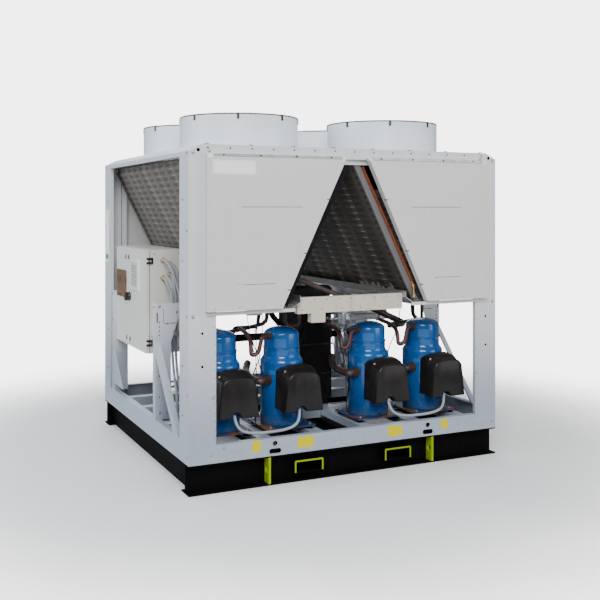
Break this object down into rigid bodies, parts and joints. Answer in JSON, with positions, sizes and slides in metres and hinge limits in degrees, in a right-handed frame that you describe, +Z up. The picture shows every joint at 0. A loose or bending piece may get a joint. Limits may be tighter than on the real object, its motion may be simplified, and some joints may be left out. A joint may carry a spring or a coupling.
{
  "type": "air-cooled water chiller",
  "caption": "Air-cooled water chiller on a forklift skid: open frame with V-shaped coils, roof fan cowls, blue compressors behind a front rail and a side cabinet with a hinged door.",
  "frame": {"origin": "centre of the footprint, on the ground under the skid", "axes": "+X to the right along the front, +Y to the back, +Z up; the front with the compressors faces -Y"},
  "size_m": [2.435, 2.353, 2.491],
  "materials": {
    "black_plastic": "black-brown plastic",
    "brass": "brass",
    "cabinet_white": "off-white powder coat",
    "cable_grey": "grey cable sheath",
    "coil_fins": "weathered aluminium fins",
    "compressor_blue": "glossy blue paint",
    "copper": "weathered copper",
    "cowl_grey": "satin light grey powder coat",
    "duct_grey": "grey plastic",
    "frame_grey": "satin light grey powder coat",
    "galvanised": "galvanised sheet",
    "guard_black": "black coated wire",
    "insulation_black": "black foam insulation",
    "lime_paint": "lime green paint",
    "module_beige": "satin beige powder coat",
    "panel_white": "satin light grey powder coat",
    "pipe_grey": "grey painted steel",
    "pocket_black": "black paint with lime green edges",
    "rotor_grey": "dark plastic blades",
    "skid_black": "satin black paint",
    "window_tint": "brown tinted window"
  },
  "bodies": {
    "frame": {"base_cross_beams": "frame_grey", "base_end_rails": "frame_grey", "base_side_rails": "frame_grey", "cabinet_body": "cabinet_white", "cabinet_brackets": "frame_grey", "cabinet_cables": "cable_grey", "cabinet_gear": "galvanised", "cabinet_hinges": "black_plastic", "cable_duct": "duct_grey", "cable_glands": "brass", "coil_1": "coil_fins", "coil_2": "coil_fins", "coil_3": "coil_fins", "coil_4": "coil_fins", "coil_end_frames": "galvanised", "coil_trays": "galvanised", "compressor_1": "compressor_blue", "compressor_2": "compressor_blue", "compressor_3": "compressor_blue", "compressor_4": "compressor_blue", "conduits": "cable_grey", "copper_headers": "copper", "corner_post_front_left": "frame_grey", "corner_post_front_right": "frame_grey", "corner_post_rear_left": "frame_grey", "corner_post_rear_right": "frame_grey", "discharge_pipes": "copper", "end_panel_lips": "frame_grey", "end_panels_front": "panel_white", "end_panels_rear": "panel_white", "evaporator": "insulation_black", "fan_cowl_1": "cowl_grey", "fan_cowl_2": "cowl_grey", "fan_cowl_3": "cowl_grey", "fan_cowl_4": "cowl_grey", "fan_deck": "frame_grey", "fan_guards": "guard_black", "fan_rotors": "rotor_grey", "fork_pockets": "pocket_black", "junction_boxes": "cabinet_white", "lashing_plates": "lime_paint", "machine_rails": "frame_grey", "module_beams": "module_beige", "pipe_couplings": "pipe_grey", "roof_end_beams": "frame_grey", "roof_side_beams": "frame_grey", "side_braces": "frame_grey", "side_columns": "frame_grey", "skid_end_beams": "skid_black", "skid_side_beams": "skid_black", "suction_pipes": "insulation_black", "terminal_hoods": "black_plastic", "water_pipes": "pipe_grey"},
    "door": {"cabinet_door": "cabinet_white", "door_window": "window_tint", "door_vent": "cabinet_white"},
    "switch": {"main_switch": "black_plastic"}
  },
  "joints": [
    {"name": "cabinet_door_hinge", "type": "hinge", "parent": "frame", "child": "door", "pos_m": [-1.178, -0.0865, 1.143], "axis": [0, 0, 1], "range_deg": [0, 110]},
    {"name": "main_switch_turn", "type": "hinge", "parent": "door", "child": "switch", "pos_m": [-1.205, 0.3805, 1.147], "axis": [1, 0, 0], "range_deg": [0, 90]}
  ]
}
